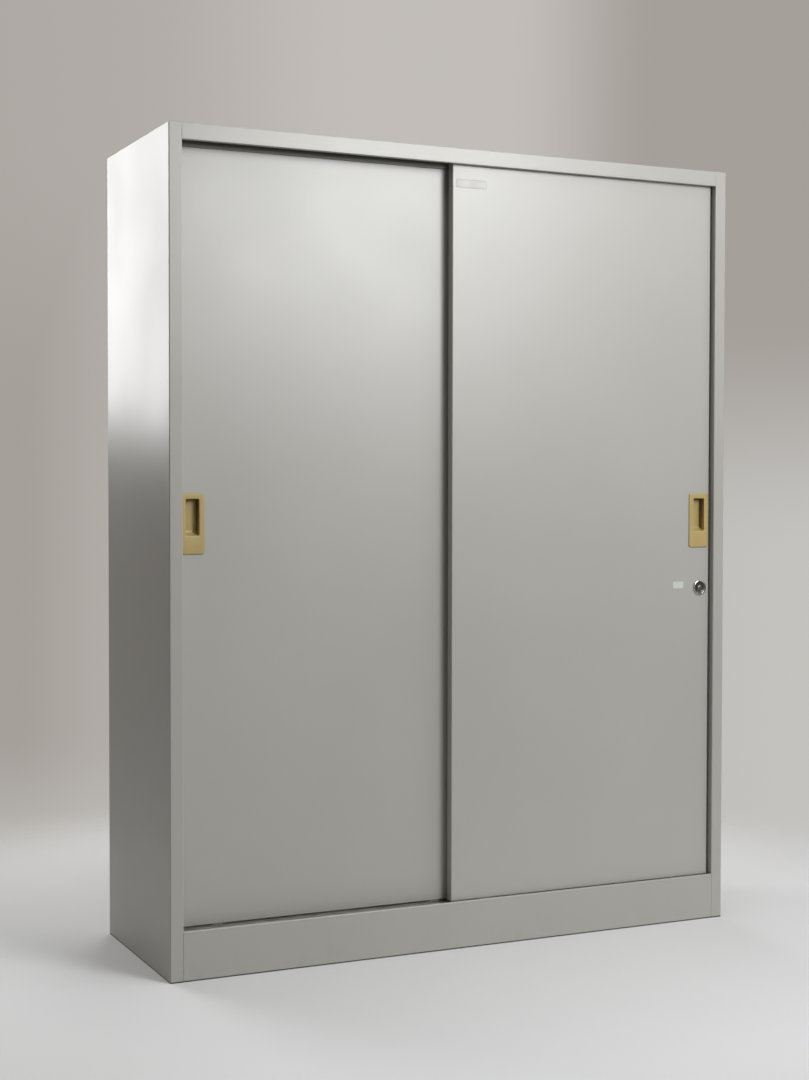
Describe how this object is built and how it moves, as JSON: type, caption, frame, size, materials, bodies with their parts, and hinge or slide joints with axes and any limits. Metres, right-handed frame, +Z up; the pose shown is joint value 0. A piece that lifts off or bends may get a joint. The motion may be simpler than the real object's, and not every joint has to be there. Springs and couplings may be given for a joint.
{
  "type": "sliding door cabinet",
  "caption": "Tall painted steel cabinet with two overlapping sliding doors on lower rails, recessed pulls, a hook-bolt lock, a plinth and adjustable shelves.",
  "frame": {"origin": "on the floor, under the middle of the cabinet", "axes": "+Z up, the doors face -Y, +X to the right seen from the front"},
  "size_m": [1.2, 0.4, 1.55],
  "materials": {
    "carcass_paint": "warm grey semi-gloss stove enamel",
    "inner_paint": "warm grey semi-gloss stove enamel",
    "door_paint": "warm grey semi-gloss stove enamel, fine grain",
    "track_steel": "drawn steel, polished by the rollers",
    "zinc_steel": "zinc plated",
    "guide_nylon": "natural nylon",
    "pull_plastic": "moulded ochre plastic, fine texture",
    "bumper_rubber": "black rubber",
    "lock_chrome": "bright nickel chrome"
  },
  "bodies": {
    "carcass": {"left_side_panel": "carcass_paint", "right_side_panel": "carcass_paint", "top_panel": "carcass_paint", "back_panel": "carcass_paint", "front_base": "carcass_paint", "rear_base": "carcass_paint", "track_plate": "carcass_paint", "bottom_panel": "carcass_paint", "floor_cross_members": "carcass_paint", "front_track_rail": "track_steel", "rear_track_rail": "track_steel", "upper_guide_channel": "carcass_paint", "upper_centre_guide": "carcass_paint", "shelf_post_front_left": "inner_paint", "shelf_post_rear_left": "inner_paint", "shelf_post_front_right": "inner_paint", "shelf_post_rear_right": "inner_paint", "shelf_clips": "zinc_steel", "jamb_bumpers": "bumper_rubber", "strike_plate": "zinc_steel", "lower_shelf": "inner_paint", "middle_shelf": "inner_paint", "upper_shelf": "inner_paint"},
    "left_door": {"left_door_pan": "door_paint", "left_door_stiffeners": "door_paint", "left_door_roller_brackets": "zinc_steel", "left_door_axles": "zinc_steel", "left_door_top_caps": "guide_nylon", "left_door_pull": "pull_plastic"},
    "right_door": {"right_door_pan": "door_paint", "right_door_stiffeners": "door_paint", "right_door_roller_brackets": "zinc_steel", "right_door_axles": "zinc_steel", "right_door_top_caps": "guide_nylon", "right_door_pull": "pull_plastic", "lock_barrel": "lock_chrome", "lock_nut": "zinc_steel"},
    "lock_cylinder": {"lock_plug": "lock_chrome", "lock_hook": "zinc_steel", "hook_screw": "zinc_steel"},
    "left_roller_1": {"left_door_roller_1": "guide_nylon"},
    "left_roller_2": {"left_door_roller_2": "guide_nylon"},
    "right_roller_1": {"right_door_roller_1": "guide_nylon"},
    "right_roller_2": {"right_door_roller_2": "guide_nylon"}
  },
  "joints": [
    {"name": "left_door_slide", "type": "slide", "parent": "carcass", "child": "left_door", "axis": [1, 0, 0], "range_m": [0, 0.544]},
    {"name": "right_door_slide", "type": "slide", "parent": "carcass", "child": "right_door", "axis": [1, 0, 0], "range_m": [-0.544, 0]},
    {"name": "lock_turn", "type": "hinge", "parent": "right_door", "child": "lock_cylinder", "pos_m": [0.549, -0.18, 0.691], "axis": [0, -1, 0], "range_deg": [0, 90]},
    {"name": "left_roller_1_spin", "type": "hinge", "parent": "left_door", "child": "left_roller_1", "pos_m": [-0.496, -0.153, 0.09695], "axis": [0, 1, 0], "range_deg": [-2400, 2400]},
    {"name": "left_roller_2_spin", "type": "hinge", "parent": "left_door", "child": "left_roller_2", "pos_m": [-0.048, -0.153, 0.09695], "axis": [0, 1, 0], "range_deg": [-2400, 2400]},
    {"name": "right_roller_1_spin", "type": "hinge", "parent": "right_door", "child": "right_roller_1", "pos_m": [0.048, -0.179, 0.09695], "axis": [0, 1, 0], "range_deg": [-2400, 2400]},
    {"name": "right_roller_2_spin", "type": "hinge", "parent": "right_door", "child": "right_roller_2", "pos_m": [0.496, -0.179, 0.09695], "axis": [0, 1, 0], "range_deg": [-2400, 2400]}
  ],
  "couplings": [
    {"joint": "left_roller_1_spin", "follows": "left_door_slide", "rad_per_m": 75.472},
    {"joint": "left_roller_2_spin", "follows": "left_door_slide", "rad_per_m": 75.472},
    {"joint": "right_roller_1_spin", "follows": "right_door_slide", "rad_per_m": 75.472},
    {"joint": "right_roller_2_spin", "follows": "right_door_slide", "rad_per_m": 75.472}
  ]
}
